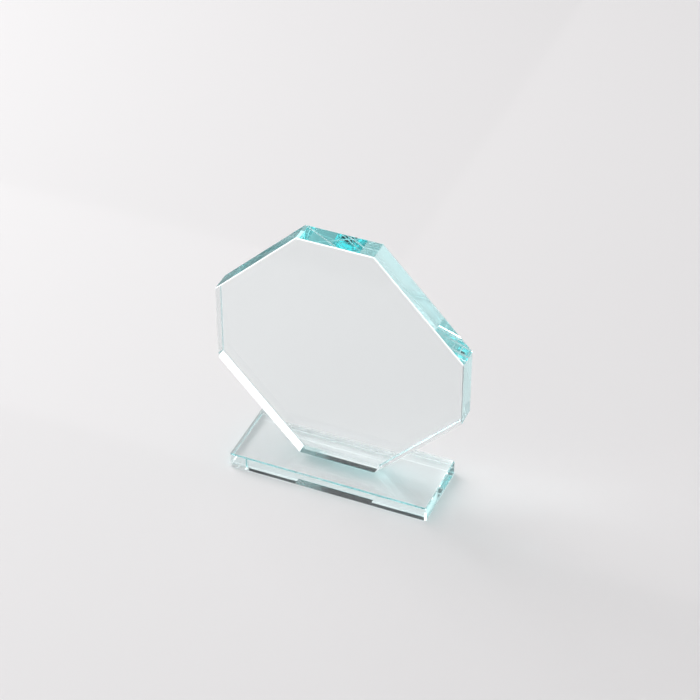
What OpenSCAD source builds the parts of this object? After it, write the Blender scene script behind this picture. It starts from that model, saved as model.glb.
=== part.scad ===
// Crystal award: an upright eight-sided glass plate bonded to a flat glass base.
// All lengths are in millimetres. +Z is up and -Y is the front.
// The origin is the middle of the base's underside.

/* [Base plate] */

// Width of the base from left to right
base_w = 135; // [100:1:200]

// Depth of the base from front to back
base_d = 50; // [35:1:90]

// Thickness of the base
base_t = 10.6; // [6:0.1:25]

// How far the bevel on the top and bottom edges of the base reaches in from the edge
base_bevel = 0.6; // [0.4:0.1:2.5]

// How far the bevel on the four upright corners of the base reaches in from the corner
base_corner = 1.2; // [0.5:0.1:5]

/* [Upright plate] */

// Widest size of the upright plate, between its two upright edges
plate_w = 164; // [120:1:220]

// Height of the upright plate above its bonded bottom edge
plate_h = 168; // [120:1:240]

// Thickness of the upright plate
plate_t = 15; // [8:1:25]

// How far the bevel round both faces of the upright plate reaches in from the edge
plate_bevel = 0.5; // [0.4:0.1:2]

// How far the upright plate stands behind the middle of the base
plate_back = 1; // [-5:0.5:5]

/* [Corners cut off the upright plate] */

// Width of the corner cut off at the top left
top_left_w = 55; // [30:0.5:75]

// Height of the corner cut off at the top left
top_left_h = 53.5; // [30:0.5:75]

// Width of the corner cut off at the top right
top_right_w = 58.5; // [30:0.5:75]

// Height of the corner cut off at the top right
top_right_h = 63; // [30:0.5:75]

// Width of the corner cut off at the bottom right
bottom_right_w = 57; // [30:0.5:75]

// Height of the corner cut off at the bottom right
bottom_right_h = 59; // [30:0.5:75]

// Width of the corner cut off at the bottom left
bottom_left_w = 55; // [30:0.5:75]

// Height of the corner cut off at the bottom left
bottom_left_h = 60.5; // [30:0.5:75]

/* [Bond] */

// Thickness of the clear adhesive between the two plates
bond_t = 0.1; // [0.05:0.05:0.5]

/* [Hidden] */

// Height at which the upright plate's bottom edge sits
plate_z = base_t + bond_t;

// Left and right limits of the upright plate
plate_left = -plate_w / 2;
plate_right = plate_w / 2;

// Ends of the bottom edge, which stands on the base
foot_left = plate_left + bottom_left_w;
foot_right = plate_right - bottom_right_w;

// The eight corners as (x, height), anticlockwise seen from the front
corners = [
    [foot_left, 0],
    [foot_right, 0],
    [plate_right, bottom_right_h],
    [plate_right, plate_h - top_right_h],
    [plate_right - top_right_w, plate_h],
    [plate_left + top_left_w, plate_h],
    [plate_left, plate_h - top_left_h],
    [plate_left, bottom_left_h]
];

// Side of the square bar that cuts a bevel, and its overrun past each corner
bar = 6;
overrun = 4;

// Straight distance from a sharp edge of the upright plate to its bevel
bevel_depth = plate_bevel / sqrt(2);

// A rectangle with its four corners cut at 45 degrees, centred on the origin.
module bevelled_rectangle(w, h, cut) {
    polygon([
        [-w / 2 + cut, -h / 2],
        [w / 2 - cut, -h / 2],
        [w / 2, -h / 2 + cut],
        [w / 2, h / 2 - cut],
        [w / 2 - cut, h / 2],
        [-w / 2 + cut, h / 2],
        [-w / 2, h / 2 - cut],
        [-w / 2, -h / 2 + cut]
    ]);
}

// The eight-sided outline, upright and through the full thickness.
module octagon_blank() {
    rotate([90, 0, 0])
        linear_extrude(height = plate_t, center = true)
            polygon(corners);
}

// The bar that bevels one edge of the outline.
// It is drawn in the outline's own plane, with its thickness direction up,
// and side is 1 for the front face and -1 for the back face.
module edge_bar(start, finish, side) {
    run = finish - start;
    turn = atan2(run[1], run[0]);
    translate([start[0], start[1], side * plate_t / 2])
        rotate([0, 0, turn])
            rotate([-side * 45, 0, 0])
                translate([-overrun, bevel_depth - bar, -bar / 2])
                    cube([norm(run) + 2 * overrun, bar, bar]);
}

// All sixteen bevel cuts, eight round each face.
module bevel_cuts() {
    rotate([90, 0, 0])
        for (side = [-1, 1])
            for (i = [0 : len(corners) - 1])
                edge_bar(corners[i], corners[(i + 1) % len(corners)], side);
}

// The upright eight-sided glass plate.
module octagon_plate() {
    color([0.86, 0.95, 0.93, 0.35])
        translate([0, plate_back, plate_z])
            difference() {
                octagon_blank();
                bevel_cuts();
            }
}

// The film of clear adhesive under the flat part of the plate's bottom edge.
module bond_film() {
    color([0.95, 0.97, 0.97, 0.35])
        translate([foot_left, plate_back - plate_t / 2 + plate_bevel, base_t])
            cube([foot_right - foot_left, plate_t - 2 * plate_bevel, bond_t]);
}

// The flat glass base, bevelled on all of its edges.
module base_plate() {
    color([0.84, 0.94, 0.92, 0.35])
        translate([0, 0, base_t / 2])
            intersection() {
                linear_extrude(height = base_t, center = true)
                    bevelled_rectangle(base_w, base_d, base_corner);
                rotate([90, 0, 0])
                    linear_extrude(height = base_d, center = true)
                        bevelled_rectangle(base_w, base_t, base_bevel);
                rotate([90, 0, 90])
                    linear_extrude(height = base_w, center = true)
                        bevelled_rectangle(base_d, base_t, base_bevel);
            }
}

octagon_plate();
bond_film();
base_plate();
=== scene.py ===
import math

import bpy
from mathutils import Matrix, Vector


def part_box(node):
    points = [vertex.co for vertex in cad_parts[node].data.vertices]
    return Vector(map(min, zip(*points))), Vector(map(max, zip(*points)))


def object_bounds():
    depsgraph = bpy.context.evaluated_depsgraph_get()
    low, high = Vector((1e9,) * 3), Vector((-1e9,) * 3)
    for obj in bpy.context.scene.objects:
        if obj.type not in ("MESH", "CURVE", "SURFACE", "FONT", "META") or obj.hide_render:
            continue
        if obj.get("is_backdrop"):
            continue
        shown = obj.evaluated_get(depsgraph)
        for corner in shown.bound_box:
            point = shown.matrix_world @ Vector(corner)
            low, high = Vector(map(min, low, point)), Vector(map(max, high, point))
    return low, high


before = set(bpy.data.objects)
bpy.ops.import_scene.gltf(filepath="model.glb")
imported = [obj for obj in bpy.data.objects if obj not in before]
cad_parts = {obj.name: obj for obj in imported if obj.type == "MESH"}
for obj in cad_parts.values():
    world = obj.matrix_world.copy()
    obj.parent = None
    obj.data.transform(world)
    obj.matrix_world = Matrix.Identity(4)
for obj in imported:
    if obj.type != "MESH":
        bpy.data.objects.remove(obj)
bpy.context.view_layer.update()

# %% [markdown]
# # A crystal award, made of two plates of glass
# The award is an upright plate with eight sides, bonded by its bottom edge to a flat base.
# Glass has almost no colour or texture of its own, so its looks come from three things:
# exact flat faces, a faint tint that grows with the length of glass a ray crosses, and
# what stands round it in the studio. This lesson makes them in that order.

MM = 0.001
scene = bpy.context.scene

# %% [markdown]
# ## The camera
# A small glass piece is pictured from above with a long lens, so that its upright
# edges stay nearly parallel. The camera could be aimed with a Track To constraint, but a
# place worked out from two angles is as short and stays put. It comes first, because every
# later choice is judged through it.

# %% Camera
CAMERA_AZIMUTH = math.radians(23.09)
CAMERA_ELEVATION = math.radians(38.375)
CAMERA_DISTANCE = 1.4483
CAMERA_TARGET = Vector((0.00549, 0, 0.09913))
CAMERA_LENS = 121.56
CAMERA_SENSOR = 36


def direction_from(azimuth, elevation):
    """The unit vector from the award towards a place at this azimuth and elevation."""
    flat = math.cos(elevation)
    return Vector((math.sin(azimuth) * flat, -math.cos(azimuth) * flat, math.sin(elevation)))


camera_data = bpy.data.cameras.new("camera")
camera_data.lens = CAMERA_LENS
camera_data.sensor_width = CAMERA_SENSOR
camera_data.clip_start = 0.01
camera_data.clip_end = 50
camera = bpy.data.objects.new("camera", camera_data)
scene.collection.objects.link(camera)
to_camera = direction_from(CAMERA_AZIMUTH, CAMERA_ELEVATION)
camera.location = CAMERA_TARGET + to_camera * CAMERA_DISTANCE
camera.rotation_euler = (-to_camera).to_track_quat("-Z", "Y").to_euler()
scene.camera = camera
print("camera at", [round(v, 3) for v in camera.location])

# %% [markdown]
# ## How light travels in thick glass
# A ray that enters the award may turn back from its inner faces more than fifty times
# before it leaves, and each turn adds to the green of the edges. With few bounces those
# rays end early and the edges go black, so the limits are raised. Glass also lights the
# table under it, and the blur that hides that light by default is turned off. The plain
# view transform keeps a white card white.

# %% Light paths
LONG_PATH = 256

scene.cycles.max_bounces = LONG_PATH
scene.cycles.glossy_bounces = LONG_PATH
scene.cycles.transmission_bounces = LONG_PATH
scene.cycles.transparent_max_bounces = LONG_PATH
scene.cycles.blur_glossy = 0
scene.view_settings.view_transform = "Standard"
print("bounces", scene.cycles.max_bounces)

# %% [markdown]
# ## Helpers for shader groups
# The finishes below are shader groups: each is built once, has named inputs and outputs,
# and is placed in more than one material with its own values. These helpers make an empty
# group, a Math node and a Vector Math node, so that each recipe stays readable.

# %% Helpers for shader groups
VECTOR = "NodeSocketVector"
NUMBER = "NodeSocketFloat"


def new_group(name, inputs, outputs):
    """An empty shader group with these sockets, and its input and output nodes."""
    group = bpy.data.node_groups.new(name, "ShaderNodeTree")
    for label, kind in inputs:
        group.interface.new_socket(label, in_out="INPUT", socket_type=kind)
    for label, kind in outputs:
        group.interface.new_socket(label, in_out="OUTPUT", socket_type=kind)
    return group, group.nodes.new("NodeGroupInput"), group.nodes.new("NodeGroupOutput")


def fill(tree, socket, value):
    """Links a socket to an input, or sets the input to a plain value."""
    if isinstance(value, bpy.types.NodeSocket):
        tree.links.new(value, socket)
    elif value is not None:
        socket.default_value = value


def math_node(tree, operation, first, second=None, third=None):
    """The result of a Math node on sockets or numbers."""
    node = tree.nodes.new("ShaderNodeMath")
    node.operation = operation
    for socket, value in zip(node.inputs, (first, second, third)):
        fill(tree, socket, value)
    return node.outputs[0]


def dot_product(tree, first, second):
    """How far one direction leans along another, from a Vector Math node."""
    node = tree.nodes.new("ShaderNodeVectorMath")
    node.operation = "DOT_PRODUCT"
    fill(tree, node.inputs[0], first)
    fill(tree, node.inputs[1], second)
    return node.outputs["Value"]


# %% [markdown]
# ## Which faces are bonded
# The two plates are joined by a film of clear adhesive that bends light as glass does, so
# a ray crosses the joint without turning or shining. The two solids could be joined into
# one mesh, but they are separate pieces. Instead one group says where the joint is, and
# each glass opens its surface there.

# %% Group: bonded area
film_low, film_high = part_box("bond_film")
JOINT_REACH = 0.15 * MM

bonded_area, area_in, area_out = new_group(
    "Bonded area",
    [("Position", VECTOR), ("Low corner", VECTOR), ("High corner", VECTOR)],
    [("Open", NUMBER)],
)
parts = {}
for label in ("Position", "Low corner", "High corner"):
    parts[label] = bonded_area.nodes.new("ShaderNodeSeparateXYZ")
    bonded_area.links.new(area_in.outputs[label], parts[label].inputs[0])
inside = 1.0
for axis in "XYZ":
    here = parts["Position"].outputs[axis]
    above = math_node(bonded_area, "GREATER_THAN", here, parts["Low corner"].outputs[axis])
    below = math_node(bonded_area, "LESS_THAN", here, parts["High corner"].outputs[axis])
    both = math_node(bonded_area, "MULTIPLY", above, below)
    inside = math_node(bonded_area, "MULTIPLY", both, inside)
bonded_area.links.new(inside, area_out.inputs["Open"])
print("joint from", [round(v / MM, 2) for v in film_low],
      "to", [round(v / MM, 2) for v in film_high])

# %% [markdown]
# ## The ground arris
# A plate's sharp edges are taken off with a fine wheel, and only the broad faces and the
# edges are polished after. The narrow bevel, or arris, stays finely ground, and reads as a
# pale line round the plate. A bevel is found by its slope: it leans half way between the
# broad face and the edge, so its normal is neither along the face's axis nor across it.

# %% Group: ground arris
ground_arris, arris_in, arris_out = new_group(
    "Ground arris",
    [("Normal", VECTOR), ("Face axis", VECTOR), ("Position", VECTOR),
     ("Fine", NUMBER), ("Coarse", NUMBER)],
    [("Roughness", NUMBER)],
)
ARRIS_LEAN_LOW = 0.25
ARRIS_LEAN_HIGH = 0.92
GRAIN_SCALE = 900

facing = dot_product(ground_arris, arris_in.outputs["Normal"], arris_in.outputs["Face axis"])
lean = math_node(ground_arris, "ABSOLUTE", facing)
off_edge = math_node(ground_arris, "GREATER_THAN", lean, ARRIS_LEAN_LOW)
off_face = math_node(ground_arris, "LESS_THAN", lean, ARRIS_LEAN_HIGH)
leaning = math_node(ground_arris, "MULTIPLY", off_edge, off_face)
grain = ground_arris.nodes.new("ShaderNodeTexNoise")
grain.inputs["Scale"].default_value = GRAIN_SCALE
ground_arris.links.new(arris_in.outputs["Position"], grain.inputs["Vector"])
spread = math_node(ground_arris, "SUBTRACT", arris_in.outputs["Coarse"], arris_in.outputs["Fine"])
ground = math_node(ground_arris, "MULTIPLY_ADD", grain.outputs["Fac"], spread, arris_in.outputs["Fine"])
on_arris = math_node(ground_arris, "MULTIPLY", leaning, ground)
ground_arris.links.new(on_arris, arris_out.inputs["Roughness"])
print("arris found where the slope is between", ARRIS_LEAN_LOW, "and", ARRIS_LEAN_HIGH)

# %% [markdown]
# ## Waves left by polishing
# The broad faces are float glass and truly flat. The narrow edges are ground and polished
# afterwards, and keep slow waves, a centimetre or two long and at most a hundredth of a
# millimetre deep. They are too shallow to see, but they bend the pictures inside the
# edges into soft streaks. A bump is enough: real displacement would need far more faces.

# %% Group: polishing waves
polishing_waves, waves_in, waves_out = new_group(
    "Polishing waves",
    [("Normal", VECTOR), ("Face axis", VECTOR), ("Position", VECTOR), ("Waves per metre", NUMBER)],
    [("Height", NUMBER)],
)
facing = dot_product(polishing_waves, waves_in.outputs["Normal"], waves_in.outputs["Face axis"])
lean = math_node(polishing_waves, "ABSOLUTE", facing)
on_edge = math_node(polishing_waves, "LESS_THAN", lean, ARRIS_LEAN_LOW)
swell = polishing_waves.nodes.new("ShaderNodeTexNoise")
swell.inputs["Detail"].default_value = 0
polishing_waves.links.new(waves_in.outputs["Position"], swell.inputs["Vector"])
polishing_waves.links.new(waves_in.outputs["Waves per metre"], swell.inputs["Scale"])
wavy_edge = math_node(polishing_waves, "MULTIPLY", swell.outputs["Fac"], on_edge)
polishing_waves.links.new(wavy_edge, waves_out.inputs["Height"])
print("groups:", [group.name for group in bpy.data.node_groups])

# %% [markdown]
# ## The body of the glass
# Optical glass is clear, so its surface stays white and smooth. Its green comes from the
# depth: red fades fastest along a ray, and a look across the whole plate turns turquoise
# while a look straight through stays neutral. A tinted surface can't do this, so the tint
# is an absorbing volume, with the same values in both plates because both are cut from
# the same stock.

# %% Glass body
GLASS_IOR = 1.52
GLASS_TINT = (0.0, 0.86, 0.88)
GLASS_DENSITY = 2.3


def glass_body(name):
    """Clear glass that takes its colour from its depth, with its tree and its shader."""
    material = bpy.data.materials.new(name)
    material.use_nodes = True
    tree = material.node_tree
    glass = tree.nodes["Principled BSDF"]
    glass.inputs["Base Color"].default_value = (1, 1, 1, 1)
    glass.inputs["IOR"].default_value = GLASS_IOR
    glass.inputs["Transmission Weight"].default_value = 1
    absorb = tree.nodes.new("ShaderNodeVolumeAbsorption")
    absorb.inputs["Color"].default_value = (*GLASS_TINT, 1)
    absorb.inputs["Density"].default_value = GLASS_DENSITY
    tree.links.new(absorb.outputs[0], tree.nodes["Material Output"].inputs["Volume"])
    return material, tree, glass


print("glass absorbs", [round(GLASS_DENSITY * (1 - c), 2) for c in GLASS_TINT], "per metre")

# %% [markdown]
# ## The surface of the glass
# The three groups are placed in the glass here, each by a short function of its own: the
# joint is opened, the arris is ground and the edges get their waves. The ground arris of
# the upright plate also wears a pale skin, where the broken surface throws light back
# before it enters. A soft coat with a strong shine does this, and Backfacing keeps it on
# the outside only.

# %% Placing a group
def place_group(tree, group, **values):
    """A group node in this material, with its inputs linked or set by name."""
    node = tree.nodes.new("ShaderNodeGroup")
    node.node_tree = group
    for label, value in values.items():
        fill(tree, node.inputs[label.replace("_", " ")], value)
    return node.outputs[0]


# %% Open at the joint
def open_joint(tree, glass, position):
    """Makes the surface see-through where the film of adhesive lies."""
    reach = Vector((0, 0, JOINT_REACH))
    joint = place_group(tree, bonded_area, Position=position,
                        Low_corner=film_low - reach, High_corner=film_high + reach)
    tree.links.new(math_node(tree, "SUBTRACT", 1.0, joint), glass.inputs["Alpha"])


# %% Ground on the arris
def grind_arris(tree, glass, place, fine, coarse):
    """Roughens the arris, and returns its roughness, which is 0 everywhere else."""
    rough = place_group(tree, ground_arris, Fine=fine, Coarse=coarse, **place)
    tree.links.new(rough, glass.inputs["Roughness"])
    return rough


# %% Pale skin on the arris
SKIN_IOR = 8
SKIN_ROUGHNESS = 0.4


def wear_skin(tree, glass, rough):
    """Gives the ground arris its pale skin, on the outside only."""
    is_ground = math_node(tree, "GREATER_THAN", rough, 0.0)
    backfacing = tree.nodes.new("ShaderNodeNewGeometry").outputs["Backfacing"]
    outside = math_node(tree, "SUBTRACT", 1.0, backfacing)
    has_skin = math_node(tree, "MULTIPLY", is_ground, outside)
    tree.links.new(has_skin, glass.inputs["Coat Weight"])
    glass.inputs["Coat IOR"].default_value = SKIN_IOR
    glass.inputs["Coat Roughness"].default_value = SKIN_ROUGHNESS


# %% Waves on the edges
WAVES_PER_METRE = 60


def wave_edges(tree, glass, place, wave_depth):
    """Bends the polished edges a little, with a bump."""
    waves = place_group(tree, polishing_waves, Waves_per_metre=WAVES_PER_METRE, **place)
    bump = tree.nodes.new("ShaderNodeBump")
    bump.inputs["Distance"].default_value = wave_depth
    tree.links.new(waves, bump.inputs["Height"])
    tree.links.new(bump.outputs[0], glass.inputs["Normal"])


# %% [markdown]
# ## Glass for the two plates
# The upright plate's broad faces look along Y, and the base's look along Z. The upright
# plate is ground coarser on its arris, and its edges are the wavier ones.

# %% Glass for the two plates
PLATE_WORK = {"fine": 0.3, "coarse": 0.5, "skin": True, "wave_depth": 0.01 * MM}
BASE_WORK = {"fine": 0.1, "coarse": 0.15, "skin": False, "wave_depth": 0.002 * MM}


def glass_material(name, face_axis, fine, coarse, skin, wave_depth):
    """The glass of one plate, whose broad faces look along face_axis."""
    material, tree, glass = glass_body(name)
    position = tree.nodes.new("ShaderNodeTexCoord").outputs["Object"]
    normal = tree.nodes.new("ShaderNodeNewGeometry").outputs["True Normal"]
    place = {"Normal": normal, "Face_axis": face_axis, "Position": position}
    open_joint(tree, glass, position)
    rough = grind_arris(tree, glass, place, fine, coarse)
    if skin:
        wear_skin(tree, glass, rough)
    wave_edges(tree, glass, place, wave_depth)
    return material


plate_glass = glass_material("plate glass", (0, 1, 0), **PLATE_WORK)
base_glass = glass_material("base glass", (0, 0, 1), **BASE_WORK)
print("glasses:", plate_glass.name, "and", base_glass.name)

# %% [markdown]
# ## The bond
# Adhesive that cures under light is as clear as the glass, apart from a faint milkiness
# where it was pressed too thin. It is strongest at one end of the foot and fades away
# along it, and it is what greys the dark mirror under the plate. It is a very thin white
# veil: mostly see-through, with soft clouds in it.

# %% Bond material
VEIL_COLOUR = (0.80, 0.84, 0.83, 1)
VEIL_MOST = 0.33
VEIL_LEAST = 0.005
VEIL_STARTS = -20 * MM
VEIL_ENDS = -3 * MM
VEIL_ROUGHNESS = 0.8
CLOUDS_PER_METRE = 140
CLOUD_FLOOR = 0.5

bond_clear = bpy.data.materials.new("clear bond")
bond_clear.use_nodes = True
bond_tree = bond_clear.node_tree
veil = bond_tree.nodes["Principled BSDF"]
veil.inputs["Base Color"].default_value = VEIL_COLOUR
veil.inputs["Roughness"].default_value = VEIL_ROUGHNESS
bond_place = bond_tree.nodes.new("ShaderNodeTexCoord").outputs["Object"]
bond_split = bond_tree.nodes.new("ShaderNodeSeparateXYZ")
bond_tree.links.new(bond_place, bond_split.inputs[0])
fade = bond_tree.nodes.new("ShaderNodeMapRange")
fade.interpolation_type = "SMOOTHSTEP"
fade.inputs["From Min"].default_value = VEIL_STARTS
fade.inputs["From Max"].default_value = VEIL_ENDS
fade.inputs["To Min"].default_value = VEIL_MOST
fade.inputs["To Max"].default_value = VEIL_LEAST
bond_tree.links.new(bond_split.outputs["X"], fade.inputs["Value"])
clouds = bond_tree.nodes.new("ShaderNodeTexNoise")
clouds.inputs["Scale"].default_value = CLOUDS_PER_METRE
bond_tree.links.new(bond_place, clouds.inputs["Vector"])
cloudy = math_node(bond_tree, "ADD", clouds.outputs["Fac"], CLOUD_FLOOR)
milkiness = math_node(bond_tree, "MULTIPLY", fade.outputs[0], cloudy)
bond_tree.links.new(milkiness, veil.inputs["Alpha"])
print("bond veil from", VEIL_MOST, "down to", VEIL_LEAST)

# %% [markdown]
# ## Finish on the three pieces
# Each solid from the design keeps its shape and takes its own glass. The film lies
# exactly in the two faces it joins, where a renderer can't tell which face comes first,
# so a Displace modifier draws its surface in by a fiftieth of a millimetre.

# %% Finish on the pieces
FILM_DRAWN_IN = 0.02 * MM

for node, material in (("octagon_plate", plate_glass), ("base_plate", base_glass),
                       ("bond_film", bond_clear)):
    mesh = bpy.data.objects[node].data
    mesh.materials.clear()
    mesh.materials.append(material)
    print(node, "has", len(mesh.polygons), "faces in", material.name)

drawn_in = bpy.data.objects["bond_film"].modifiers.new("drawn in", "DISPLACE")
drawn_in.mid_level = 0
drawn_in.strength = -FILM_DRAWN_IN

# %% [markdown]
# ## The table
# The award stands on a wide sheet of white paper. It is nearly all that the glass shows,
# so it is large, plain and a little under white. A hair's gap under the base keeps the
# two surfaces apart, as air does under real glass.

# %% Table
TABLE_HALF = 6
TABLE_GAP = 0.2 * MM
TABLE_COLOUR = (0.8, 0.79, 0.795, 1)
TABLE_ROUGHNESS = 0.7


def flat_sheet(name, corners, material):
    """A flat four-cornered sheet that isn't part of the award."""
    mesh = bpy.data.meshes.new(name)
    mesh.from_pydata(corners, [], [(0, 1, 2, 3)])
    mesh.materials.append(material)
    sheet = bpy.data.objects.new(name, mesh)
    scene.collection.objects.link(sheet)
    sheet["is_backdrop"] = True
    return sheet


def matt_material(name, colour, roughness):
    """A plain matt finish for the table and the cards."""
    material = bpy.data.materials.new(name)
    material.use_nodes = True
    shader = material.node_tree.nodes["Principled BSDF"]
    shader.inputs["Base Color"].default_value = colour
    shader.inputs["Roughness"].default_value = roughness
    return material


def corners_between(low_x, high_x, low_y, high_y, height):
    """The corners of a level sheet, anticlockwise from above."""
    flat_corners = ((low_x, low_y), (high_x, low_y), (high_x, high_y), (low_x, high_y))
    return [(x, y, height) for x, y in flat_corners]


white_paper = matt_material("white paper", TABLE_COLOUR, TABLE_ROUGHNESS)
table_corners = corners_between(-TABLE_HALF, TABLE_HALF, -TABLE_HALF, TABLE_HALF, -TABLE_GAP)
flat_sheet("table", table_corners, white_paper)
print("table", 2 * TABLE_HALF, "m square,", TABLE_GAP / MM, "mm under the base")

# %% [markdown]
# ## A white room
# Clear glass is pictured in a white tent, which lights it evenly from all sides and
# gives its faces a pale reflection. A plain white world stands for the tent.

# %% White room
ROOM_COLOUR = (1, 0.99, 0.995, 1)
ROOM_RADIANCE = 0.61

room = bpy.data.worlds.new("white room")
scene.world = room
room.use_nodes = True
room_light = room.node_tree.nodes["Background"]
room_light.inputs["Color"].default_value = ROOM_COLOUR
room_light.inputs["Strength"].default_value = ROOM_RADIANCE
print("room radiance", ROOM_RADIANCE)

# %% [markdown]
# ## Lamps that draw the edges white
# A big soft lamp high on the left lights the table, and its light falls off gently to the
# right. A small bright lamp stands below it, where only the lower right edge looks, and
# turns that edge into a thin white line. A soft lamp in front whitens the end of the
# base, and a low one at the back right fills the wide lower left edge. Three more stand
# where the ground arris of the upright plate looks. Only a shine on the outside of the
# glass sees them, so they draw the arris white and leave the rest as it is.

# %% Lamps
AIM = Vector((0, 0, 0.05))


def soft_box(name, place, width, height, radiance):
    """A rectangular lamp that faces the award. Its radiance is what the award sees in it."""
    data = bpy.data.lights.new(name, "AREA")
    data.shape = "RECTANGLE"
    data.size = width
    data.size_y = height
    data.energy = radiance * math.pi * width * height
    lamp = bpy.data.objects.new(name, data)
    scene.collection.objects.link(lamp)
    lamp.location = place
    lamp.rotation_euler = (AIM - Vector(place)).to_track_quat("-Z", "Y").to_euler()
    lamp.visible_camera = False
    print(name, "gives", round(data.energy, 2), "W")
    return lamp


soft_box("left lamp", (-1.10, 0.34, 0.66), width=0.36, height=0.3, radiance=7.0)
soft_box("key lamp", (-1.0, 0.45, 1.45), width=1.3, height=1.3, radiance=2.2)
soft_box("front lamp", (-0.42, -1.12, 1.12), width=1.2, height=0.9, radiance=0.8)
soft_box("back lamp", (0.95, 1.05, 0.46), width=0.9, height=0.34, radiance=0.95)

# %% Lamps that only the outside of the glass sees
ARRIS_LAMPS = {
    "arris lamp in front": (-0.42, -1.12, 1.22),
    "arris lamp on the right": (1.05, -0.97, 0.51),
    "arris lamp on the left": (-1.45, -0.4, 0.35),
}

for name, place in ARRIS_LAMPS.items():
    arris_lamp = soft_box(name, place, width=1.2, height=0.9, radiance=2.0)
    arris_lamp.visible_transmission = False
    arris_lamp.visible_diffuse = False

# %% [markdown]
# ## Cards that draw the edges dark
# In a room that is white all round, glass would have no outline. Black cards give it
# one. The first stands behind, just where the mirror under the plate's foot looks. The
# other two lie on the table, behind and in front, where only a shine on the outside of
# the glass looks: one darkens the upper left edge and one keeps the broad face grey.
# None of them takes light from the table, and the camera doesn't see them.

# %% Black cards
CARD_BLACK = (0.004, 0.005, 0.008, 1)
card_black = matt_material("black card", CARD_BLACK, 1)


def black_card(name, corners):
    """A black card that only the glass sees."""
    card = flat_sheet(name, corners, card_black)
    card.visible_camera = False
    card.visible_diffuse = False
    card.visible_shadow = False
    return card


CARD_BEHIND_Y = 1.15
CARD_BEHIND_OUTLINE = ((-0.67, 1.02), (-0.33, 1.02), (-0.33, 1.18), (-0.67, 1.18))
CARD_HEIGHT = 2 * MM

behind_corners = [(x, CARD_BEHIND_Y, z) for x, z in CARD_BEHIND_OUTLINE]
card_behind = black_card("card behind", behind_corners)
card_behind.visible_glossy = False
low_card = black_card("card on the table", corners_between(-1.2, -0.05, 0.2, 1.1, CARD_HEIGHT))
low_card.visible_transmission = False
front_card = black_card("card in front", corners_between(-0.6, 0.4, -0.7, -0.028, CARD_HEIGHT))
front_card.visible_transmission = False
print("cards:", card_behind.name, "-", low_card.name, "-", front_card.name)

# %% [markdown]
# ## The size
# The looks must not change the award's size, so the box round the award is printed
# at the end, once every look is on.

# %% Sizes
look_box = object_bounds()
look_low, look_high = ([round(v / MM, 2) for v in corner] for corner in look_box)
print("award from", look_low, "to", look_high)
